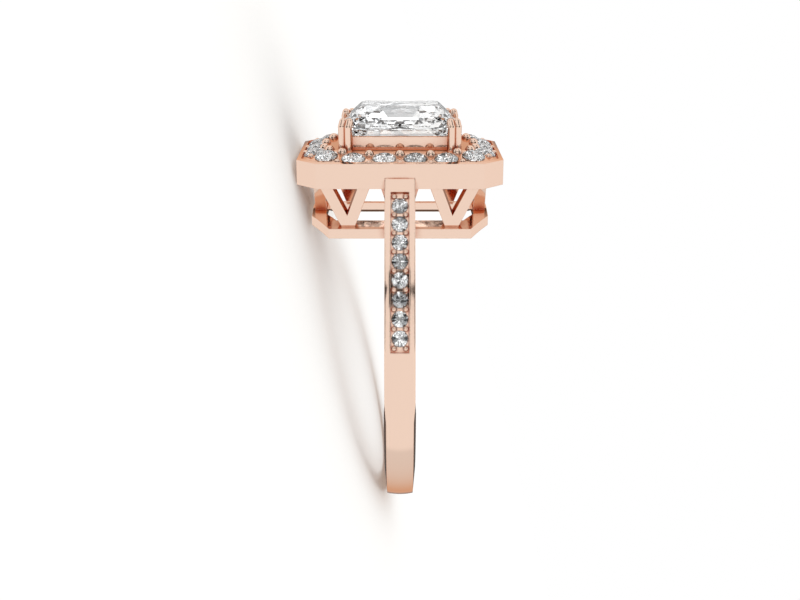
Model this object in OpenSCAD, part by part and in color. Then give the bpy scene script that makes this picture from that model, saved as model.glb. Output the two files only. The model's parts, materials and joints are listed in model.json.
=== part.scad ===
// Halo ring in rose gold. A cut-corner centre stone stands in four double claws
// over an eight-sided halo of round stones, on pave shoulders and a pierced
// gallery of V struts.
//
// The modules draw the ring upright: X runs along the finger, Z up through the
// head, and the middle of the finger hole is at zero. on_its_side() then lays
// it down as it rests by itself, on the edge of the halo and of the shank.

/* [Finger hole and shank] */
// Diameter of the finger hole, US size 7
finger_d = 17.3; // [15.7:0.1:19]
// Thickness of the shank from the finger hole to its outer face
shank_t = 1.55; // [1.3:0.05:1.9]
// Width of the shank where it shows from the front
shank_w = 1.82; // [1.7:0.02:2.2]
// How far the outer face is domed across its width
shank_crown = 0.1; // [0.06:0.01:0.2]
// Width of the outer face in the lower half
base_outer_w = 1.64; // [1.5:0.02:1.68]
// Width of the shank at the finger in the lower half
base_inner_w = 1.94; // [1.84:0.02:2.1]
// How far below the middle of the hole the lower half starts
base_drop = 0.5; // [0.2:0.1:2]
// Height over which the shank changes to its lower section
base_run = 1.2; // [0.8:0.1:2]

/* [Shoulders] */
// Angle above the horizontal where the shoulder leaves the round of the shank
shoulder_angle = 23; // [18:1:26]
// Height above the underside of the halo where the shoulder meets its wall
shoulder_hit = 0.66; // [0.5:0.02:0.9]
// How far the top end of the shoulder stands out from the halo wall
shoulder_lip = 0.16; // [0.12:0.02:0.24]
// Width of the stone channel
channel_w = 1.1; // [1.06:0.02:1.2]
// Depth of the stone channel
channel_depth = 0.18; // [0.12:0.01:0.22]
// Plain length between the channel and the halo wall, along the shoulder
channel_top_gap = 0.85; // [0.6:0.05:1.5]
// Start of the channel above the horizontal, along the shoulder
channel_start = 2.7; // [2:0.1:4]
// Diameter of the shoulder stones
shoulder_stone_d = 0.96; // [0.86:0.01:0.98]
// Spacing of the shoulder stones
shoulder_pitch = 1.143; // [1.13:0.001:1.25]
// Diameter of the beads between the shoulder stones
shoulder_bead_d = 0.31; // [0.26:0.01:0.32]
// Distance between the two beads of a pair
shoulder_bead_spread = 0.67; // [0.64:0.01:0.7]

/* [Halo] */
// Height of the gallery, from the finger hole to the underside of the halo
gallery_h = 2.54; // [2.3:0.02:3]
// Size of the halo along the finger
halo_l = 12.54; // [12.2:0.02:13]
// Size of the halo round the finger
halo_w = 9.3; // [9:0.02:9.8]
// Length of the cut corners along the finger
halo_cut_l = 1.25; // [1:0.05:1.4]
// Length of the cut corners round the finger
halo_cut_w = 1.34; // [1:0.02:1.5]
// Height of the outer wall
halo_wall_h = 1.51; // [1.3:0.01:1.8]
// Slope of the stone field, in degrees
halo_slope = 15; // [10:1:18]
// Width of the plain rim
halo_rim = 0.28; // [0.2:0.02:0.29]
// Depth of the stone field below the rim
halo_recess = 0.12; // [0.06:0.01:0.16]
// Diameter of the halo stones
halo_stone_d = 1.42; // [1.3:0.01:1.45]
// Distance of the stone rows from the outer wall
halo_row_inset = 1; // [0.96:0.01:1.05]
// Distance of the corner stones from the end walls
corner_inset_l = 1.82; // [1.7:0.02:1.9]
// Distance of the corner stones from the long walls
corner_inset_w = 1.35; // [1.3:0.01:1.4]
// Step from a corner stone to the last stone of a long row
corner_step_l = 1.65; // [1.6:0.01:1.75]
// Step from a corner stone to the last stone of an end row
corner_step_w = 1.5; // [1.45:0.01:1.6]
// Least gap between two halo stones
halo_stone_gap = 0.35; // [0.25:0.01:0.36]
// Diameter of the beads on the inner side of the stones
inner_bead_d = 0.6; // [0.5:0.02:0.64]
// Diameter of the beads along the rim
outer_bead_d = 0.38; // [0.3:0.02:0.42]
// Distance of the rim beads from the line of the stones
outer_bead_offset = 0.62; // [0.56:0.02:0.66]

/* [Centre stone] */
// Length of the centre stone at its girdle
stone_l = 7.2; // [7:0.05:7.4]
// Width of the centre stone at its girdle
stone_w = 4.24; // [4.1:0.02:4.4]
// Leg of the stone's cut corners
stone_cut = 0.62; // [0.5:0.02:0.7]
// Length of the table
table_l = 4.8; // [4.6:0.05:5.2]
// Width of the table
table_w = 2.7; // [2.4:0.05:2.9]
// Leg of the table's cut corners
table_cut = 0.28; // [0.2:0.02:0.5]
// Height of the crown above the girdle
crown_h = 1.2; // [1:0.02:1.3]
// Thickness of the girdle
girdle_t = 0.1; // [0.06:0.01:0.16]
// Depth of the steep first step of the pavilion
pavilion_step_h = 0.5; // [0.46:0.02:0.6]
// How far the first step of the pavilion comes in
pavilion_step_in = 0.54; // [0.48:0.02:0.6]
// Depth of the pavilion below the girdle
pavilion_h = 2.3; // [2.1:0.05:2.6]

/* [Collar and claws] */
// Height of the collar above the outer edge of the halo
collar_h = 1.18; // [1.15:0.01:1.4]
// Wall of the collar
collar_wall = 0.32; // [0.26:0.02:0.4]
// Distance from the collar up to the girdle
girdle_lift = 0.46; // [0.4:0.01:0.46]
// Diameter of one claw
claw_d = 0.46; // [0.44:0.01:0.5]
// Distance between the two claws of a corner
claw_spacing = 0.42; // [0.38:0.01:0.43]
// How far inside the stone's end the middle of a pair of claws stands
claw_in = 0.26; // [0.22:0.01:0.3]
// How far outside the stone's side the middle of a pair of claws stands
claw_out = 0.18; // [0.18:0.01:0.24]
// Height of the claw tips above the girdle
claw_tip_h = 0.6; // [0.54:0.01:0.68]
// Gap between a claw and the centre stone
claw_gap = 0.05; // [0.04:0.01:0.1]

/* [Lower rail] */
// Size of the rail along the finger
rail_l = 11; // [10.8:0.05:11.4]
// Size of the rail round the finger
rail_w = 7.2; // [7:0.05:7.6]
// Length of the rail's cut corners along the finger
rail_cut_l = 1.13; // [1:0.01:1.3]
// Length of the rail's cut corners round the finger
rail_cut_w = 1.45; // [1.2:0.05:1.6]
// Width of the rail's band seen from above
rail_band = 0.9; // [0.8:0.02:1]
// Thickness of the rail outwards from the finger
rail_t = 0.55; // [0.45:0.01:0.7]

/* [Gallery struts] */
// Set-back of the front and back struts from the rail's outer face
strut_setback = 0.2; // [0.15:0.01:0.25]
// Set-back of the front and back struts from the halo's outer wall, at its underside
strut_top_setback = 0.35; // [0.3:0.01:0.6]
// Thickness of the struts
strut_t = 0.72; // [0.6:0.01:0.75]
// Outer edge of a V at its foot, from the middle of the ring
v_foot_out = 3.5; // [3.4:0.05:3.7]
// Width of a V at its foot
v_foot_w = 0.66; // [0.5:0.02:0.8]
// Outer edge of a V at the halo, from the middle of the ring
v_top_out = 4.88; // [4.7:0.02:5]
// Inner edge of a V at the halo, from the middle of the ring
v_top_in = 1.74; // [1.6:0.02:1.9]
// Width of an arm at the halo
v_arm_w = 0.72; // [0.6:0.02:0.8]
// Half width at the halo of the V behind the shoulder
v_middle_top = 1.2; // [1.1:0.02:1.3]
// Set-back of the end struts from the rail's outer face
end_setback = 0.14; // [0.1:0.01:0.2]
// Half width of the end V at its foot
end_foot = 1; // [0.8:0.05:1.1]
// Half width of the end V at the halo
end_top = 2.4; // [2.2:0.05:2.6]

/* [Fit] */
// Gap between a round stone and its seat
seat_gap = 0.03; // [0.02:0.005:0.04]
// Gap between the centre stone and the inside of the collar
collar_gap = 0.066; // [0.05:0.002:0.09]

/* [Hidden] */
$fn = 96;
metal = "#e2a98c";
stone_colour = "#eef2f4";

// Overlap of pieces that are soldered into one, and overshoot of cuts
lap = 0.2;
over = 1;

// Turn by which the round of the shank and the flatter shoulder run into each other
lap_angle = 1.5;

// Cut of a round brilliant, as shares of its diameter
round_table = 0.56;
round_star = 0.78;
round_crown = 0.14;
round_girdle = 0.03;
round_pavilion = 0.43;
round_lower = 0.22;

finger_r = finger_d / 2;
outer_r = finger_r + shank_t;
halo_z = finger_r + gallery_h;
eave_z = halo_z + halo_wall_h;
half_l = halo_l / 2;
half_w = halo_w / 2;
halo_half_size = [half_l, half_w];
halo_cuts = [halo_cut_l, halo_cut_w];

// Shoulder: a flatter arc that leaves the shank at shoulder_angle and ends in a
// small ledge on the halo wall at shoulder_hit
shoulder_dir = [cos(shoulder_angle), sin(shoulder_angle)];
hit = [half_w + shoulder_lip, halo_z + shoulder_hit];
flat_extra = (hit * hit - outer_r ^ 2) / (2 * (outer_r - hit * shoulder_dir));
flat_r = outer_r + flat_extra;
flat_centre = -flat_extra * shoulder_dir;
hit_angle = atan2(hit[1] - flat_centre[1], hit[0] - flat_centre[0]);
round_length = arc_length(outer_r, shoulder_angle);
hit_length = round_length + arc_length(flat_r, hit_angle - shoulder_angle);
crown_r = (shank_w / 2) ^ 2 / (2 * shank_crown) + shank_crown / 2;

// Shoulder stones, counted from the head down
bead_end_gap = 0.26;
channel_top = hit_length - channel_top_gap;
shoulder_count = floor((channel_top - channel_start - 2 * bead_end_gap) / shoulder_pitch);

// Halo stones, counted round the halo. The field rises inwards almost to where
// its cut corners would come to a point.
tan_slope = tan(halo_slope);
field_share = 0.95;
field_in = field_share * halo_cut_l / (1 + (halo_cut_l - norm([halo_cut_l, halo_cut_w])) / halo_cut_w);
corner_x = half_l - corner_inset_l;
corner_y = half_w - corner_inset_w;
row_x = corner_x - corner_step_l;
row_y = corner_y - corner_step_w;
long_count = 1 + floor(2 * row_x / (halo_stone_d + halo_stone_gap));
end_count = 1 + floor(2 * row_y / (halo_stone_d + halo_stone_gap));
halo_half = concat(
    [for (i = [0:long_count - 1]) [along(row_x, i, long_count), -half_w + halo_row_inset]],
    [[corner_x, -corner_y]],
    [for (i = [0:end_count - 1]) [half_l - halo_row_inset, along(row_y, i, end_count)]],
    [[corner_x, corner_y]]
);
halo_places = concat(halo_half, [for (p = halo_half) -p]);
halo_count = len(halo_places);

// Centre stone and what carries it
stone_half = [stone_l / 2, stone_w / 2];
stone_cuts = [stone_cut, stone_cut];
collar_z = eave_z + collar_h;
girdle_z = collar_z + girdle_lift;
crown_z = girdle_z + girdle_t;
table_z = crown_z + crown_h;
opening_in = pavilion_step_in * girdle_lift / pavilion_step_h - collar_gap;
claw_r = claw_d / 2;
claw_knuckle = 0.01;
// Turn of a pair of claws, nearly in line with the side of the stone
claw_turn = 68;
claw_reach = claw_r + claw_gap;
claw_slope = atan(2 * crown_h / (stone_w - table_w));
claw_bend = claw_reach * (1 - sin(claw_slope)) / cos(claw_slope);
claw_lean = (claw_tip_h - claw_bend - claw_r) / sin(claw_slope);

// Rail and struts
rail_r = finger_r + rail_t;
rail_half = [rail_l / 2, rail_w / 2];
rail_cuts = [rail_cut_l, rail_cut_w];
strut_y = rail_half[1] - strut_setback;
strut_top_y = half_w - strut_top_setback;
strut_z = sqrt(rail_r ^ 2 - strut_y ^ 2);
strut_lean = atan((strut_top_y - strut_y) / (halo_z - strut_z));

// The ring lies on the edge of the halo's underside and of the shank's outer
// face, and the middle of its box is at zero
base_edge_z = outer_r - crown_r + sqrt(crown_r ^ 2 - (base_outer_w / 2) ^ 2);
lie_angle = atan((half_l - base_outer_w / 2) / (halo_z + base_edge_z));
lie_lift = base_outer_w / 2 * cos(lie_angle) + base_edge_z * sin(lie_angle);
head_reach = table_l / 2 * sin(lie_angle) + table_z * cos(lie_angle);
base_reach = base_outer_w / 2 * sin(lie_angle) + base_edge_z * cos(lie_angle);

function arc_length(r, angle) = r * angle * PI / 180;

// Place i of n places spread evenly from -reach to reach
function along(reach, i, n) = n == 1 ? 0 : -reach + 2 * reach * i / (n - 1);

// Height of the stone field under a point, from the nearest wall
function cut_depth(p) =
    let (
        normal = [halo_cut_w, halo_cut_l] / norm([halo_cut_w, halo_cut_l]),
        edge = [half_l - halo_cut_l, half_w]
    )
    normal * (edge - p);
function field_inset(p) =
    min(half_l - abs(p[0]), half_w - abs(p[1]), cut_depth([abs(p[0]), abs(p[1])]));
function field_z(p) = eave_z + field_inset(p) * tan_slope - halo_recess;

// Direction in which the field falls at a stone: out from its row, or out
// between the wall and the cut corner
function fall_dir(p) =
    let (
        corner = abs(abs(p[0]) - corner_x) < 0.01 && abs(abs(p[1]) - corner_y) < 0.01,
        long = half_w - abs(p[1]) < half_l - abs(p[0]),
        wall = long ? [0, 1] : [1, 0],
        cut = [halo_cut_w, halo_cut_l] / norm([halo_cut_w, halo_cut_l]),
        out = corner ? (wall + cut) / norm(wall + cut) : wall
    )
    [out[0] * sign(p[0] == 0 ? 1 : p[0]), out[1] * sign(p[1] == 0 ? 1 : p[1])];

// Legs of an octagon's cut corners after it is drawn in by d on every side
function inset_cuts(cuts, d) =
    let (slant = norm(cuts))
    [
        cuts[0] - d * (1 + (cuts[0] - slant) / cuts[1]),
        cuts[1] - d * (1 + (cuts[1] - slant) / cuts[0])
    ];

// Corners of an octagon, counterclockwise from the lower right
function octagon_points(half, cuts, d = 0) =
    let (
        x = half[0] - d,
        y = half[1] - d,
        cut = inset_cuts(cuts, d)
    )
    [
        [x, -y + cut[1]], [x, y - cut[1]], [x - cut[0], y], [-x + cut[0], y],
        [-x, y - cut[1]], [-x, -y + cut[1]], [-x + cut[0], -y], [x - cut[0], -y]
    ];

module octagon_prism(half, cuts, d, z0, z1) {
    translate([0, 0, z0])
        linear_extrude(height = z1 - z0)
            polygon(octagon_points(half, cuts, d));
}

// Draws a profile of the Y-Z plane as a slab of width w across the finger
module across(w) {
    rotate([90, 0, 90])
        linear_extrude(height = w, center = true)
            children();
}

// Stands its children on the outer face of the back shoulder, s along it from
// the horizontal, with Z pointing outwards
module on_shoulder(s) {
    flat = s > round_length;
    angle = flat ? shoulder_angle + (s - round_length) / flat_r * 180 / PI : s / outer_r * 180 / PI;
    centre = flat ? flat_centre : [0, 0];
    translate([0, centre[0], centre[1]])
        rotate([angle - 90, 0, 0])
            translate([0, 0, flat ? flat_r : outer_r])
                children();
}

// Stands its children on the stone field at a place of the halo
module on_field(p) {
    out = fall_dir(p);
    translate([p[0], p[1], field_z(p)])
        rotate([0, 0, atan2(out[1], out[0])])
            rotate([0, halo_slope, 0])
                children();
}

module on_its_side() {
    translate([(head_reach - base_reach) / 2, 0, lie_lift])
        rotate([0, lie_angle - 90, 0])
            children();
}

// A domed hoop: what lies inside the round outer face of radius r
module domed_hoop(r) {
    rotate([90, 0, 90])
        rotate_extrude()
            translate([r - crown_r, 0])
                circle(r = crown_r);
}

// What comes off one side of the shank: its upper part is straight-sided, and
// the sides of its lower part come together towards the outer face
module shank_side_cut() {
    side = shank_w / 2;
    run_end = -base_drop - 2 * base_run;
    top = outer_r + over;
    rotate([90, 0, 0])
        linear_extrude(height = 4 * outer_r, center = true)
            polygon([
                [side, top], [side, -base_drop], [base_inner_w - side, run_end],
                [side + over, run_end], [side + over, top]
            ]);
    draft = (base_inner_w - base_outer_w) / 2 / (base_edge_z - finger_r);
    intersection() {
        rotate([90, 0, 90])
            rotate_extrude()
                polygon([
                    [finger_r - over, base_inner_w / 2 + over * draft],
                    [outer_r + over, base_outer_w / 2 - (outer_r + over - base_edge_z) * draft],
                    [outer_r + over, side + over],
                    [finger_r - over, side + over]
                ]);
        rotate([90, 0, 0])
            linear_extrude(height = 4 * outer_r, center = true)
                polygon([
                    [side, -base_drop], [base_outer_w - side, run_end],
                    [base_outer_w - side, -top], [side + over, -top],
                    [side + over, -base_drop]
                ]);
    }
}

// The round of the shank below the shoulders, still filled inside
module shank_hoop() {
    reach = 2 * outer_r;
    rise = reach * tan(shoulder_angle + lap_angle);
    difference() {
        intersection() {
            across(base_inner_w)
                polygon([[0, 0], [-reach, rise], [-reach, -reach], [reach, -reach], [reach, rise]]);
            domed_hoop(outer_r);
        }
        shank_side_cut();
        mirror([1, 0, 0])
            shank_side_cut();
    }
}

// The back shoulder, from the shank to the halo wall and the rail
module shoulder() {
    reach = 2 * outer_r;
    end_y = rail_half[1] - rail_band / 2;
    top = halo_z + shoulder_hit;
    slope = tan(shoulder_angle);
    intersection() {
        across(shank_w)
            polygon([[end_y, end_y * slope], [reach, reach * slope], [reach, top], [end_y, top]]);
        translate([0, flat_centre[0], flat_centre[1]])
            domed_hoop(flat_r);
    }
}

// The channel of the back shoulder: one stretch on the round of the shank and
// one on the flatter arc
module channel_cut() {
    start = channel_start / outer_r * 180 / PI;
    end = shoulder_angle + (channel_top - round_length) / flat_r * 180 / PI;
    rotate([90, 0, 90])
        rotate([0, 0, start])
            rotate_extrude(angle = shoulder_angle - start, start = 0)
                translate([outer_r - channel_depth, -channel_w / 2])
                    square([over, channel_w]);
    translate([0, flat_centre[0], flat_centre[1]])
        rotate([90, 0, 90])
            rotate([0, 0, shoulder_angle - lap_angle])
                rotate_extrude(angle = end - shoulder_angle + lap_angle, start = 0)
                    translate([flat_r - channel_depth, -channel_w / 2])
                        square([over, channel_w]);
}

function bead_s(i) = channel_top - bead_end_gap - i * shoulder_pitch;
function shoulder_stone_s(i) = bead_s(i - 0.5);

module shoulder_beads() {
    for (i = [0:shoulder_count], side = [-1, 1])
        on_shoulder(bead_s(i))
            translate([side * shoulder_bead_spread / 2, 0, -channel_depth + shoulder_bead_d / 4])
                sphere(d = shoulder_bead_d);
}

module shoulder_seats() {
    for (i = [1:shoulder_count])
        on_shoulder(shoulder_stone_s(i))
            translate([0, 0, -channel_depth + seat_gap])
                round_seat(shoulder_stone_d);
}

// What a round stone of diameter d takes out of the metal
module round_seat(d) {
    depth = round_pavilion * d + seat_gap;
    translate([0, 0, -depth])
        cylinder(h = depth, r1 = seat_gap, r2 = d / 2 + seat_gap);
    cylinder(h = d / 2, r = d / 2 + seat_gap);
}

// Plate of the halo with a roof that rises inwards from a wall set in by d
module roofed_plate(d, drop) {
    edge_z = eave_z + d * tan_slope - drop;
    inner_z = eave_z + field_in * tan_slope - drop;
    rows = [
        for (inset_z = [[d, halo_z], [d, edge_z], [field_in, inner_z]])
            [for (p = octagon_points(halo_half_size, halo_cuts, inset_z[0])) [p[0], p[1], inset_z[1]]]
    ];
    polyhedron(
        points = concat(rows[0], rows[1], rows[2]),
        faces = concat(
            [[for (i = [0:7]) i]],
            [for (r = [0, 8], i = [0:7]) [r + i, r + 8 + i, r + 8 + (i + 1) % 8, r + (i + 1) % 8]],
            [[for (i = [7:-1:0]) 16 + i]]
        )
    );
}

module halo_frame() {
    roofed_plate(halo_rim / 2, halo_recess);
    difference() {
        roofed_plate(0, 0);
        octagon_prism(halo_half_size, halo_cuts, halo_rim, halo_z - over, table_z);
    }
}

// Beads in the gap between each two stones of the halo. The inner one stands as
// close to the row as both stones let it.
module halo_beads() {
    for (i = [0:halo_count - 1]) {
        a = halo_places[i];
        b = halo_places[(i + 1) % halo_count];
        middle = (a + b) / 2;
        out = [b[1] - a[1], a[0] - b[0]] / norm(b - a);
        reach = halo_stone_d / 2 + inner_bead_d / 2 + 2 * seat_gap;
        inner = middle - out * sqrt(max(0.01, reach ^ 2 - norm(b - a) ^ 2 / 4));
        outer = middle + out * outer_bead_offset;
        translate([inner[0], inner[1], field_z(inner)])
            sphere(d = inner_bead_d);
        translate([outer[0], outer[1], field_z(outer)])
            sphere(d = outer_bead_d);
    }
}

module halo_seats() {
    for (p = halo_places)
        on_field(p)
            round_seat(halo_stone_d);
}

module collar() {
    octagon_prism(stone_half, stone_cuts, opening_in - collar_wall, eave_z, collar_z);
}

// One claw: straight up past the girdle, then over the crown towards the stone
module claw(z0) {
    translate([0, 0, z0])
        cylinder(h = crown_z + claw_bend - z0, r = claw_r);
    translate([0, 0, crown_z + claw_bend]) {
        sphere(r = claw_r + claw_knuckle);
        rotate([0, claw_slope - 90, 0]) {
            cylinder(h = claw_lean, r = claw_r);
            translate([0, 0, claw_lean])
                sphere(r = claw_r);
        }
    }
}

module claws() {
    for (x = [0, 1], y = [0, 1], side = [-1, 1])
        mirror([x, 0, 0])
            mirror([0, y, 0])
                translate([stone_half[0] - claw_in, stone_half[1] + claw_out, 0])
                    rotate([0, 0, claw_turn])
                        translate([0, side * claw_spacing / 2, 0])
                            claw(eave_z);
}

// Octagonal frame whose underside follows the finger
module rail() {
    intersection() {
        difference() {
            octagon_prism(rail_half, rail_cuts, 0, finger_r / 2, rail_r + over);
            octagon_prism(rail_half, rail_cuts, rail_band, finger_r / 2 - over, rail_r + 2 * over);
        }
        rotate([0, 90, 0])
            cylinder(h = rail_l + over, r = rail_r, center = true);
    }
}

// One side V and the V behind the shoulder, leaning out from the rail to the halo
module front_struts() {
    foot = -lap;
    top = (halo_z + lap - strut_z) / cos(strut_lean);
    foot_in = v_foot_out - v_foot_w;
    out_slope = (v_top_out - v_foot_out) / (top - foot);
    in_slope = (foot_in - v_top_in) / (top - foot);
    notch_depth = (v_top_out - v_top_in - 2 * v_arm_w) / (out_slope + in_slope);
    apex = v_top_out - v_arm_w - out_slope * notch_depth;
    translate([0, -strut_y, strut_z])
        rotate([90 + strut_lean, 0, 0])
            translate([0, 0, -strut_t])
                linear_extrude(height = strut_t) {
                    for (side = [-1, 1])
                        polygon([
                            [side * foot_in, foot], [side * v_foot_out, foot], [side * v_top_out, top],
                            [side * (v_top_out - v_arm_w), top], [side * apex, top - notch_depth],
                            [side * (v_top_in + v_arm_w), top], [side * v_top_in, top]
                        ]);
                    polygon([
                        [-v_foot_w / 2, foot], [v_foot_w / 2, foot],
                        [v_middle_top, top], [-v_middle_top, top]
                    ]);
                }
}

// The V at one end of the gallery
module end_struts() {
    foot = finger_r + rail_t / 2;
    top = halo_z + lap;
    translate([rail_half[0] - end_setback - strut_t / 2, 0, 0])
        across(strut_t)
            polygon([
                [-end_foot, foot], [end_foot, foot], [end_top, top], [end_top - v_arm_w, top],
                [0, rail_r], [v_arm_w - end_top, top], [-end_top, top]
            ]);
}

// Everything of the mount that is solid before it is cut for the stones
module mount_body() {
    shank_hoop();
    rail();
    halo_frame();
    collar();
    claws();
    for (y = [0, 1])
        mirror([0, y, 0]) {
            shoulder();
            front_struts();
        }
    for (x = [0, 1])
        mirror([x, 0, 0])
            end_struts();
}

module ring_mount() {
    color(metal)
        difference() {
            union() {
                difference() {
                    mount_body();
                    for (y = [0, 1])
                        mirror([0, y, 0])
                            channel_cut();
                }
                for (y = [0, 1])
                    mirror([0, y, 0])
                        shoulder_beads();
                halo_beads();
            }
            halo_seats();
            for (y = [0, 1])
                mirror([0, y, 0])
                    shoulder_seats();
            octagon_prism(stone_half, stone_cuts, opening_in, halo_z - over, collar_z + over);
            rotate([0, 90, 0])
                cylinder(h = halo_l, r = finger_r, center = true);
        }
}

// A round brilliant with 57 facets, its girdle at zero
module brilliant(d) {
    r = d / 2;
    edge = round_girdle * d / 2;
    crown = round_crown * d;
    pavilion = round_pavilion * d - edge;
    half_step = cos(22.5);
    star_z = edge + crown * (1 - round_star * half_step) / (1 - round_table);
    lower_z = -edge - pavilion * (1 - round_lower * half_step);
    polyhedron(
        points = concat(
            circle_row(8, r * round_table, edge + crown, 0),
            circle_row(8, r * round_star, star_z, 22.5),
            circle_row(16, r, edge, 0),
            circle_row(16, r, -edge, 0),
            circle_row(8, r * round_lower, lower_z, 22.5),
            [[0, 0, -edge - pavilion]]
        ),
        faces = concat(
            [[for (k = [7:-1:0]) k]],
            [for (k = [0:7]) [k, (k + 1) % 8, 8 + k]],
            [for (k = [0:7]) [k, 8 + k, 16 + 2 * k, 8 + (k + 7) % 8]],
            [for (k = [0:7]) [8 + k, 17 + 2 * k, 16 + 2 * k]],
            [for (k = [0:7]) [8 + k, 16 + (2 * k + 2) % 16, 17 + 2 * k]],
            [for (k = [0:15]) [32 + k, 16 + k, 16 + (k + 1) % 16, 32 + (k + 1) % 16]],
            [for (k = [0:7]) [48 + k, 32 + 2 * k, 33 + 2 * k]],
            [for (k = [0:7]) [48 + k, 33 + 2 * k, 32 + (2 * k + 2) % 16]],
            [for (k = [0:7]) [56, 48 + (k + 7) % 8, 32 + 2 * k, 48 + k]]
        )
    );
}

function circle_row(n, r, z, start) =
    [for (k = [0:n - 1]) [r * cos(start + k * 360 / n), r * sin(start + k * 360 / n), z]];

// Points round a cut-corner rectangle: each edge is split in its share of
// edge_splits, shift moves every point along its own split, and bulge bows the
// four sides outwards by that share of their length
edge_splits = [3, 2, 5, 2, 3, 2, 5, 2];
row_points = 24;
function stone_row(half, cuts, z, shift, bulge = 0) =
    let (corners = octagon_points(half, cuts))
    [
        for (e = [0:7], j = [0:edge_splits[e] - 1])
            let (
                t = (j + shift) / edge_splits[e],
                run = corners[(e + 1) % 8] - corners[e],
                bow = e % 2 == 0 ? bulge * 4 * t * (1 - t) : 0,
                at = corners[e] + run * t + [run[1], -run[0]] * bow
            )
            [at[0], at[1], z]
    ];

// Triangles from an outer row at a to an inner row at b that is shifted by half
// a split, and back again, seen from above
function rows_in(a, b) = [
    for (i = [0:row_points - 1], k = [0, 1])
        let (j = (i + 1) % row_points)
        k == 0 ? [a + i, a + j, b + i] : [a + j, b + j, b + i]
];
function rows_back(a, b) = [
    for (i = [0:row_points - 1], k = [0, 1])
        let (j = (i + 1) % row_points)
        k == 0 ? [a + i, a + j, b + j] : [a + i, b + j, b + i]
];
function flipped(faces) = [for (f = faces) [for (i = [len(f) - 1:-1:0]) f[i]]];

// The centre stone, a cut-corner rectangle with fanned facets over and under
// its girdle and a keel below
crown_step = 0.54;
crown_bow = 0.022;
waist_in = 0.42;
waist_depth = 0.5;
waist_bow = 0.045;
keel_share = 0.4;
module centre_cut() {
    mid_half = stone_half * crown_step + [table_l, table_w] / 2 * (1 - crown_step);
    mid_cut = stone_cut * crown_step + table_cut * (1 - crown_step);
    step_half = stone_half - [pavilion_step_in, pavilion_step_in];
    step_cuts = inset_cuts(stone_cuts, pavilion_step_in);
    keel = step_half[0] * keel_share;
    waist_half = step_half * (1 - waist_in) + [keel, 0] * waist_in;
    waist_z = girdle_z - pavilion_step_h - (pavilion_h - pavilion_step_h) * waist_depth;
    n = row_points;
    middle = edge_splits[0] + edge_splits[1] + (edge_splits[2] - 1) / 2;
    far_middle = middle + n / 2;
    top = 3 * n;
    low = 6 * n;
    polyhedron(
        points = concat(
            stone_row(stone_half, stone_cuts, crown_z, 0),
            stone_row(mid_half, [mid_cut, mid_cut], crown_z + crown_h / 2, 0.5, crown_bow),
            stone_row([table_l, table_w] / 2, [table_cut, table_cut], table_z, 0),
            stone_row(stone_half, stone_cuts, girdle_z, 0),
            stone_row(step_half, step_cuts, girdle_z - pavilion_step_h, 0.5),
            stone_row(waist_half, step_cuts * (1 - waist_in), waist_z, 0, waist_bow),
            [[keel, 0, girdle_z - pavilion_h], [-keel, 0, girdle_z - pavilion_h], [0, 0, table_z]]
        ),
        faces = concat(
            [for (i = [0:n - 1]) [2 * n + (i + 1) % n, 2 * n + i, low + 2]],
            flipped(rows_in(0, n)),
            flipped(rows_back(n, 2 * n)),
            [for (i = [0:n - 1]) [top + i, i, (i + 1) % n, top + (i + 1) % n]],
            rows_in(top, top + n),
            rows_back(top + n, top + 2 * n),
            [for (i = [far_middle + 1:n + middle - 1]) [5 * n + i % n, 5 * n + (i + 1) % n, low]],
            [for (i = [middle + 1:far_middle - 1]) [5 * n + i, 5 * n + i + 1, low + 1]],
            [[5 * n + middle, 5 * n + middle + 1, low + 1], [5 * n + middle, low + 1, low]],
            [[5 * n + far_middle, 5 * n + far_middle + 1, low], [5 * n + far_middle, low, low + 1]]
        )
    );
}

module centre_stone() {
    color(stone_colour)
        centre_cut();
}

module halo_stone(i) {
    color(stone_colour)
        on_field(halo_places[i - 1])
            brilliant(halo_stone_d);
}

module shoulder_stone(i) {
    color(stone_colour)
        on_shoulder(shoulder_stone_s(i))
            translate([0, 0, -channel_depth + seat_gap])
                brilliant(shoulder_stone_d);
}

on_its_side() ring_mount();
on_its_side() centre_stone();
for (i = [1:halo_count])
    on_its_side() halo_stone(i);
for (i = [1:shoulder_count]) {
    on_its_side() shoulder_stone(i);
    on_its_side() mirror([0, 1, 0]) shoulder_stone(i);
}
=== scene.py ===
import json
import math

import bpy
from mathutils import Matrix, Vector

# Halo ring in polished rose gold, set with clear stones. It lies on its side, and
# the camera has the photo's view of it, so the floor shows at the left.

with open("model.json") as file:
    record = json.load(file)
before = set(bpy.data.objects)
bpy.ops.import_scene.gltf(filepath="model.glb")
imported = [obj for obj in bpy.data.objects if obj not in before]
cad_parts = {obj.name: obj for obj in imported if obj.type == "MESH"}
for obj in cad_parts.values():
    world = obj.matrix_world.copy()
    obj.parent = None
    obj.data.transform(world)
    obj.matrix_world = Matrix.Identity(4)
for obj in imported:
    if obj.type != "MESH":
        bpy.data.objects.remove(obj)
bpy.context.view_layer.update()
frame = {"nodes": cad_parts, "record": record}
nodes = frame["nodes"]
scene = bpy.context.scene
mm = 0.001
print("frame loaded,", len(nodes), "nodes")

# The finger hole gives the ring's own directions: along the finger, round it,
# and up to the head
hole = frame["record"]["mounts"][0]
holePlace = Vector(hole["pos_m"])
alongFinger = Vector(hole["axis"]).normalized()
roundFinger = Vector((0, 1, 0))
toHead = alongFinger.cross(roundFinger)


def onRing(x, y, z):
    return holePlace + (alongFinger * x + roundFinger * y + toHead * z) * mm


def linear(hexColour):
    channels = [int(hexColour[i : i + 2], 16) / 255 for i in (1, 3, 5)]
    return [c / 12.92 if c <= 0.04045 else ((c + 0.055) / 1.055) ** 2.4 for c in channels] + [1]


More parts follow.
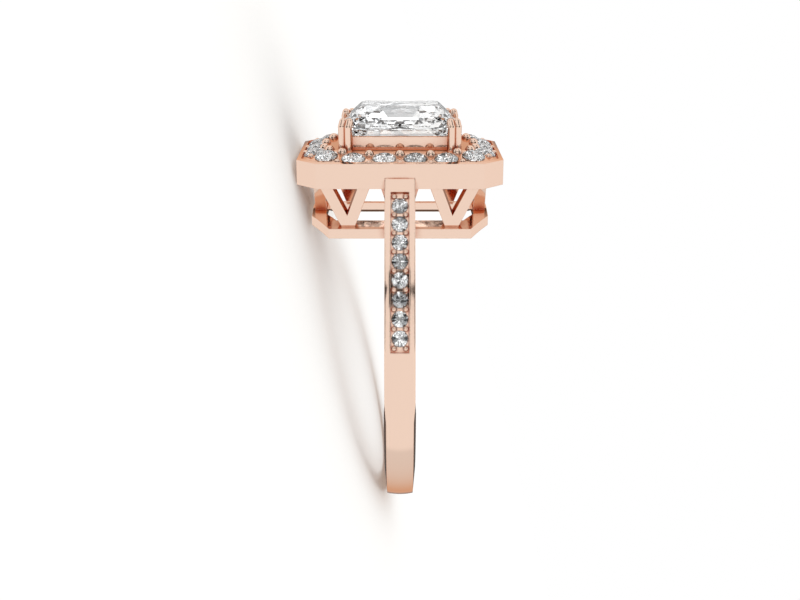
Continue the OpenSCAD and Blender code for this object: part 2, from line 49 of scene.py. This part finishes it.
def addNode(tree, kind, inputs=None, **settings):
    node = tree.nodes.new(kind)
    for name, value in settings.items():
        setattr(node, name, value)
    for name, value in (inputs or {}).items():
        if isinstance(value, bpy.types.NodeSocket):
            tree.links.new(value, node.inputs[name])
        else:
            node.inputs[name].default_value = value
    return node


def newMaterial(name):
    material = bpy.data.materials.new(name)
    material.use_nodes = True
    material.node_tree.nodes.clear()
    return material, material.node_tree


# Camera: a 50 mm lens at the photo's distance, height and tilt from the ring
view = {
    "distance": 69.873,
    "height": 25.22,
    "tilt": 0.311,
    "lens": 50,
    "sensor": 36,
    "near": 2,
    "far": 20000,
}
lens = bpy.data.cameras.new("photoCamera")
lens.lens = view["lens"]
lens.sensor_width = view["sensor"]
lens.clip_start = view["near"] * mm
lens.clip_end = view["far"] * mm
camera = bpy.data.objects.new("photoCamera", lens)
scene.collection.objects.link(camera)
lookDown = math.sin(view["tilt"])
lookLevel = math.cos(view["tilt"])
lookUp = roundFinger * lookDown + toHead * lookLevel
lookBack = toHead * lookDown - roundFinger * lookLevel
camera.matrix_world = Matrix.Translation(onRing(0, -view["distance"], view["height"])) @ Matrix(
    (alongFinger, lookUp, lookBack)
).transposed().to_4x4()
scene.camera = camera
scene.view_settings.view_transform = "Standard"
bounces = {"max": 20, "glossy": 12, "transmission": 16}  # light turns many times inside a cut stone
scene.cycles.max_bounces = bounces["max"]
scene.cycles.glossy_bounces = bounces["glossy"]
scene.cycles.transmission_bounces = bounces["transmission"]
print("camera placed")

# Rose gold, 14 carat, cast and polished to a mirror. The eye sees a clean warm
# reflection, a faint haze left by the mop, softened edges, and a painted shade: a
# deeper, darker colour painted into the hollows where the metal sees itself.
gold = {
    "colour": "#EDCFBC",
    # the darker colour below is painted shade for the hollows
    "paintedShadeColour": "#B4582F",
    "grazingColour": "#EBBB9E",
    "roughness": 0.05,
    "hazeRoughness": 0.1,
    "hazeSize": 1.4,
    "hazeDetail": 3,
    "hazeUneven": 0.6,
    "hazeFrom": 0.35,
    "hazeTo": 0.7,
    "mopLine": 0.06,  # drawn far coarser than a real polishing line, which would not show
    "mopStretch": 0.08,
    "mopDetail": 1,
    "mopDepth": 0.0006,
    "mopStrength": 0.25,
    "edgeRadius": 0.05,
    "bandEdgeRadius": 0.12,  # the mop rounds the band more than the head
    "bandHalfWidth": 1.0,
    "bandTop": 11.95,
    "recessReach": 1.1,
    "recessFrom": 0.2,
    "recessTo": 0.72,
    "samples": 4,
}
roseGold, tree = newMaterial("roseGoldPolished")
place = addNode(tree, "ShaderNodeTexCoord")
haze = addNode(
    tree,
    "ShaderNodeTexNoise",
    {
        "Vector": place.outputs["Object"],
        "Scale": 1 / (gold["hazeSize"] * mm),
        "Detail": gold["hazeDetail"],
        "Roughness": gold["hazeUneven"],
    },
)
shine = addNode(
    tree,
    "ShaderNodeMapRange",
    {
        "Value": haze.outputs[0],
        "From Min": gold["hazeFrom"],
        "From Max": gold["hazeTo"],
        "To Min": gold["roughness"],
        "To Max": gold["hazeRoughness"],
    },
)
lineSpace = addNode(
    tree, "ShaderNodeMapping", {"Vector": place.outputs["Object"], "Scale": (1, gold["mopStretch"], 1)}
)
mopLines = addNode(
    tree,
    "ShaderNodeTexNoise",
    {
        "Vector": lineSpace.outputs["Vector"],
        "Scale": 1 / (gold["mopLine"] * mm),
        "Detail": gold["mopDetail"],
    },
)
# The band is what lies within its own width of the ring's middle, under the head
acrossBand = addNode(
    tree,
    "ShaderNodeVectorMath",
    {0: place.outputs["Object"], 1: alongFinger},
    operation="DOT_PRODUCT",
)
inBandWidth = addNode(
    tree,
    "ShaderNodeMath",
    {0: acrossBand.outputs["Value"], 1: holePlace.dot(alongFinger), 2: gold["bandHalfWidth"] * mm},
    operation="COMPARE",
)
upBand = addNode(
    tree, "ShaderNodeVectorMath", {0: place.outputs["Object"], 1: toHead}, operation="DOT_PRODUCT"
)
underHead = addNode(
    tree,
    "ShaderNodeMath",
    {0: upBand.outputs["Value"], 1: holePlace.dot(toHead) + gold["bandTop"] * mm},
    operation="LESS_THAN",
)
onBand = addNode(
    tree,
    "ShaderNodeMath",
    {0: inBandWidth.outputs["Value"], 1: underHead.outputs["Value"]},
    operation="MULTIPLY",
)
roundness = addNode(
    tree,
    "ShaderNodeMapRange",
    {
        "Value": onBand.outputs["Value"],
        "To Min": gold["edgeRadius"] * mm,
        "To Max": gold["bandEdgeRadius"] * mm,
    },
)
softEdge = addNode(
    tree, "ShaderNodeBevel", {"Radius": roundness.outputs["Result"]}, samples=gold["samples"]
)
polish = addNode(
    tree,
    "ShaderNodeBump",
    {
        "Height": mopLines.outputs[0],
        "Strength": gold["mopStrength"],
        "Distance": gold["mopDepth"] * mm,
        "Normal": softEdge.outputs["Normal"],
    },
)
# painted shade: occlusion picks out the hollows, which get the darker colour
recess = addNode(
    tree,
    "ShaderNodeAmbientOcclusion",
    {"Distance": gold["recessReach"] * mm},
    samples=gold["samples"],
    only_local=True,
)
openness = addNode(
    tree,
    "ShaderNodeMapRange",
    {"Value": recess.outputs["AO"], "From Min": gold["recessFrom"], "From Max": gold["recessTo"]},
)
tone = addNode(
    tree,
    "ShaderNodeMix",
    {0: openness.outputs["Result"], 6: linear(gold["paintedShadeColour"]), 7: linear(gold["colour"])},
    data_type="RGBA",
)
surface = addNode(
    tree,
    "ShaderNodeBsdfPrincipled",
    {
        "Base Color": tone.outputs[2],
        "Metallic": 1,
        "Specular Tint": linear(gold["grazingColour"]),
        "Roughness": shine.outputs["Result"],
        "Normal": polish.outputs["Normal"],
    },
)
addNode(tree, "ShaderNodeOutputMaterial", {"Surface": surface.outputs["BSDF"]})
print("rose gold made")

# Diamond, colourless, cut and polished. The eye sees flat facets that each turn
# white, grey or dark. Part of this comes from the light the stone gathers, and part
# is painted shade: each facet gets a grey tint of random strength. The back facets
# send the light back up, as a good cut does, but a share of them carry a painted
# dark reflection, which stands for the dark round the lens.
def cutStone(name, look):
    material, tree = newMaterial(name)
    facet = addNode(tree, "ShaderNodeNewGeometry")
    chance = addNode(
        tree, "ShaderNodeTexWhiteNoise", {"Vector": facet.outputs["True Normal"]}, noise_dimensions="3D"
    )
    # painted shade: a grey tint of random strength on each facet
    tone = addNode(
        tree,
        "ShaderNodeMix",
        {0: chance.outputs["Value"], 6: linear(look["colour"]), 7: linear(look["facetShadeColour"])},
        data_type="RGBA",
    )
    clear = addNode(
        tree,
        "ShaderNodeBsdfPrincipled",
        {"Base Color": tone.outputs[2], "Roughness": 0, "IOR": look["index"], "Transmission Weight": 1},
    )
    # painted reflection: a share of the back facets mirror a dark tint, standing for the dark round the
    # lens
    dark = addNode(
        tree, "ShaderNodeMath", {0: chance.outputs["Value"], 1: look["darkShare"]}, operation="LESS_THAN"
    )
    backTone = addNode(
        tree,
        "ShaderNodeMix",
        {0: dark.outputs["Value"], 6: (1, 1, 1, 1), 7: linear(look["darkReflectionColour"])},
        data_type="RGBA",
    )
    mirror = addNode(tree, "ShaderNodeBsdfAnisotropic", {"Color": backTone.outputs[2], "Roughness": 0})
    axis = addNode(tree, "ShaderNodeAttribute", attribute_type="OBJECT", attribute_name="stoneAxis")
    rise = addNode(
        tree,
        "ShaderNodeVectorMath",
        {0: facet.outputs["True Normal"], 1: axis.outputs["Vector"]},
        operation="DOT_PRODUCT",
    )
    # True Normal points into the stone's back where the eye's ray is inside it
    backFacet = addNode(
        tree, "ShaderNodeMath", {0: rise.outputs["Value"], 1: look["backLimit"]}, operation="GREATER_THAN"
    )
    inside = addNode(
        tree,
        "ShaderNodeMath",
        {0: facet.outputs["Backfacing"], 1: backFacet.outputs["Value"]},
        operation="MULTIPLY",
    )
    share = addNode(
        tree, "ShaderNodeMath", {0: inside.outputs["Value"], 1: look["lightReturn"]}, operation="MULTIPLY"
    )
    surface = addNode(
        tree,
        "ShaderNodeMixShader",
        {0: share.outputs["Value"], 1: clear.outputs["BSDF"], 2: mirror.outputs["BSDF"]},
    )
    addNode(tree, "ShaderNodeOutputMaterial", {"Surface": surface.outputs["Shader"]})
    return material


# What all the diamonds share, then what each kind has of its own
diamond = {"colour": "#FFFFFF", "index": 2.417, "backLimit": 0.15}
centreLook = diamond | {
    "facetShadeColour": "#EEF1F3",
    "lightReturn": 0.97,
    "darkShare": 0.04,
    "darkReflectionColour": "#7C8084",
}
shoulderLook = diamond | {
    "facetShadeColour": "#CDD0D2",
    "lightReturn": 0.9,
    "darkShare": 0.3,
    "darkReflectionColour": "#34383B",
}
haloLook = diamond | {
    "facetShadeColour": "#DCDFE0",
    "lightReturn": 0.92,
    "darkShare": 0.12,
    "darkReflectionColour": "#34383B",
}
diamonds = {
    "centre": cutStone("diamondCutCorner", centreLook),
    "shoulder": cutStone("diamondShoulder", shoulderLook),
    "halo": cutStone("diamondHalo", haloLook),
}
print("diamonds made")


# A CAD mesh is loose triangles. This merges them and shades what is round as
# smooth, while every crisp edge stays crisp.
def smoothingTree():
    tree = bpy.data.node_groups.new("smoothMetal", "GeometryNodeTree")
    for name, kind, way in (
        ("Geometry", "NodeSocketGeometry", "INPUT"),
        ("Weld Distance", "NodeSocketFloat", "INPUT"),
        ("Crisp Angle", "NodeSocketFloat", "INPUT"),
        ("Geometry", "NodeSocketGeometry", "OUTPUT"),
    ):
        tree.interface.new_socket(name=name, in_out=way, socket_type=kind)
    given = addNode(tree, "NodeGroupInput")
    welded = addNode(
        tree,
        "GeometryNodeMergeByDistance",
        {"Geometry": given.outputs["Geometry"], "Distance": given.outputs["Weld Distance"]},
    )
    angle = addNode(tree, "GeometryNodeInputMeshEdgeAngle")
    crisp = addNode(
        tree,
        "FunctionNodeCompare",
        {0: angle.outputs["Unsigned Angle"], 1: given.outputs["Crisp Angle"]},
        data_type="FLOAT",
        operation="LESS_EQUAL",
    )
    smoothFaces = addNode(
        tree,
        "GeometryNodeSetShadeSmooth",
        {"Geometry": welded.outputs["Geometry"], "Shade Smooth": True},
        domain="FACE",
    )
    crispEdges = addNode(
        tree,
        "GeometryNodeSetShadeSmooth",
        {"Geometry": smoothFaces.outputs["Geometry"], "Shade Smooth": crisp.outputs["Result"]},
        domain="EDGE",
    )
    addNode(tree, "NodeGroupOutput", {"Geometry": crispEdges.outputs["Geometry"]})
    return tree


smoothing = {"Weld Distance": 0.0005 * mm, "Crisp Angle": math.radians(28)}
mount = nodes["ring_mount"]
modifier = mount.modifiers.new("smoothMetal", "NODES")
modifier.node_group = smoothingTree()
for item in modifier.node_group.interface.items_tree:
    if item.item_type == "SOCKET" and item.in_out == "INPUT" and item.name in smoothing:
        modifier[item.identifier] = smoothing[item.name]


# A stone's own axis is square to its table, the flat with the largest area
def tableNormal(mesh):
    area = {}
    for face in mesh.polygons:
        way = tuple(round(part, 2) for part in face.normal)
        area[way] = area.get(way, 0) + face.area
    return Vector(max(area, key=area.get)).normalized()


for name, node in nodes.items():
    node.data.materials.clear()
    if name == "ring_mount":
        node.data.materials.append(roseGold)
        continue
    node.data.materials.append(diamonds[name.split("_")[0]])
    node["stoneAxis"] = list(tableNormal(node.data))
print("materials on all nodes")

# Floor: smooth white paper on a table, with a faint tooth
paper = {
    "size": 1600,
    "colour": "#F6F5F3",
    "toothColour": "#F2F1EF",
    "tooth": 0.35,
    "toothDetail": 2,
    "toothDepth": 0.004,
    "toothStrength": 0.1,
}
floorMesh = bpy.data.meshes.new("floor")
half = paper["size"] / 2 * mm
floorMesh.from_pydata(
    [(-half, -half, 0), (half, -half, 0), (half, half, 0), (-half, half, 0)], [], [(0, 1, 2, 3)]
)
floor = bpy.data.objects.new("floor", floorMesh)
scene.collection.objects.link(floor)
whitePaper, tree = newMaterial("paperWhite")
place = addNode(tree, "ShaderNodeTexCoord")
tooth = addNode(
    tree,
    "ShaderNodeTexNoise",
    {
        "Vector": place.outputs["Object"],
        "Scale": 1 / (paper["tooth"] * mm),
        "Detail": paper["toothDetail"],
    },
)
paperTone = addNode(
    tree,
    "ShaderNodeMix",
    {0: tooth.outputs[0], 6: linear(paper["colour"]), 7: linear(paper["toothColour"])},
    data_type="RGBA",
)
grain = addNode(
    tree,
    "ShaderNodeBump",
    {
        "Height": tooth.outputs[0],
        "Strength": paper["toothStrength"],
        "Distance": paper["toothDepth"] * mm,
    },
)
surface = addNode(
    tree,
    "ShaderNodeBsdfDiffuse",
    {"Color": paperTone.outputs[2], "Normal": grain.outputs["Normal"]},
)
addNode(tree, "ShaderNodeOutputMaterial", {"Surface": surface.outputs["BSDF"]})
floorMesh.materials.append(whitePaper)
floor.visible_glossy = False  # the gold sees the tent on every side
print("floor laid")

# Black cards round the lens, as a jeweller's photographer hangs them. Only the gold
# reflects them: the first two make the pair of dark glints on each bead and claw,
# the one over the lens draws a dark line round the shank, and the two high ones
# line the edges of the shoulders.
blackCards = {
    "aim": (0, -4, 8),
    "distance": 90,
    "colour": "#1B1917",
    "cards": (
        {"turn": -50, "rise": 20, "width": 76, "height": 50},
        {"turn": 50, "rise": 20, "width": 76, "height": 50},
        {"turn": 0, "rise": 34, "width": 60, "height": 16},
        {"turn": -70, "rise": 58, "width": 26, "height": 44},
        {"turn": 70, "rise": 58, "width": 26, "height": 44},
    ),
}
blackCloth, tree = newMaterial("velvetBlack")
surface = addNode(tree, "ShaderNodeBsdfDiffuse", {"Color": linear(blackCards["colour"])})
addNode(tree, "ShaderNodeOutputMaterial", {"Surface": surface.outputs["BSDF"]})
for number, card in enumerate(blackCards["cards"], 1):
    turn, rise = math.radians(card["turn"]), math.radians(card["rise"])
    out = Vector((math.sin(turn) * math.cos(rise), -math.cos(turn) * math.cos(rise), math.sin(rise)))
    across = Vector((math.cos(turn), math.sin(turn), 0)) * card["width"] / 2
    upwards = out.cross(across.normalized()) * card["height"] / 2
    middle = Vector(blackCards["aim"]) + out * blackCards["distance"]
    cardMesh = bpy.data.meshes.new("blackCard" + str(number))
    cardMesh.from_pydata(
        [
            onRing(*(middle + across * x + upwards * y))
            for x, y in ((-1, -1), (1, -1), (1, 1), (-1, 1))
        ],
        [],
        [(0, 1, 2, 3)],
    )
    cardMesh.materials.append(blackCloth)
    blackCard = bpy.data.objects.new("blackCard" + str(number), cardMesh)
    scene.collection.objects.link(blackCard)
    for seen in ("camera", "diffuse", "transmission", "shadow", "volume_scatter"):
        setattr(blackCard, "visible_" + seen, False)
print("black cards hung")

# Studio: white all round. What the gold reflects is a soft white tent that darkens
# low down behind the ring, and what the stones gather is a tent with dark gaps,
# which makes them sparkle.
studio = {
    "backdrop": 1.0,
    "floorLight": 1.16,
    "tentFront": 1.02,
    "tentBack": 0.12,
    "tentLow": 0.86,
    "lowWay": (0.64, -0.77),  # round the finger and to the head
    "lowEdge": (0.42, 0.5),
    "backWay": (0.95, -0.31),
    "backEdge": (0.9, 0.98),
    "gapSize": 3.4,
    "panels": ((0, 0.02), (0.1, 0.55), (0.3, 1.1), (0.7, 1.9)),  # share from, light
}
world = bpy.data.worlds.new("studio")
scene.world = world
world.use_nodes = True
tree = world.node_tree
tree.nodes.clear()
direction = addNode(tree, "ShaderNodeTexCoord")
ray = addNode(tree, "ShaderNodeLightPath")
towardBack = addNode(
    tree,
    "ShaderNodeVectorMath",
    {
        0: direction.outputs["Generated"],
        1: roundFinger * studio["backWay"][0] + toHead * studio["backWay"][1],
    },
    operation="DOT_PRODUCT",
)
towardLow = addNode(
    tree,
    "ShaderNodeVectorMath",
    {
        0: direction.outputs["Generated"],
        1: roundFinger * studio["lowWay"][0] + toHead * studio["lowWay"][1],
    },
    operation="DOT_PRODUCT",
)
tentFloor = addNode(
    tree,
    "ShaderNodeMapRange",
    {
        "Value": towardLow.outputs["Value"],
        "From Min": studio["lowEdge"][0],
        "From Max": studio["lowEdge"][1],
        "To Min": studio["tentFront"],
        "To Max": studio["tentLow"],
    },
)
tent = addNode(
    tree,
    "ShaderNodeMapRange",
    {
        "Value": towardBack.outputs["Value"],
        "From Min": studio["backEdge"][0],
        "From Max": studio["backEdge"][1],
        "To Min": tentFloor.outputs["Result"],
        "To Max": studio["tentBack"],
    },
)
panels = addNode(
    tree,
    "ShaderNodeTexVoronoi",
    {"Vector": direction.outputs["Generated"], "Scale": studio["gapSize"]},
    distance="CHEBYCHEV",
)
panelChance = addNode(tree, "ShaderNodeSeparateColor", {"Color": panels.outputs["Color"]})
panelLight = addNode(tree, "ShaderNodeValToRGB", {"Fac": panelChance.outputs["Red"]})
ramp = panelLight.color_ramp
ramp.interpolation = "CONSTANT"
for i, (start, light) in enumerate(studio["panels"]):
    stop = ramp.elements[i] if i < 2 else ramp.elements.new(start)
    stop.position = start
    stop.color = (light, light, light, 1)
seenByGold = addNode(
    tree,
    "ShaderNodeMix",
    {0: ray.outputs["Is Glossy Ray"], 2: studio["floorLight"], 3: tent.outputs["Result"]},
)
seenByStones = addNode(
    tree,
    "ShaderNodeMix",
    {0: ray.outputs["Is Transmission Ray"], 2: seenByGold.outputs[0], 3: panelLight.outputs["Color"]},
)
seenByCamera = addNode(
    tree,
    "ShaderNodeMix",
    {0: ray.outputs["Is Camera Ray"], 2: seenByStones.outputs[0], 3: studio["backdrop"]},
)
background = addNode(
    tree, "ShaderNodeBackground", {"Color": (1, 1, 1, 1), "Strength": seenByCamera.outputs[0]}
)
addNode(tree, "ShaderNodeOutputWorld", {"Surface": background.outputs["Background"]})
print("studio lit")
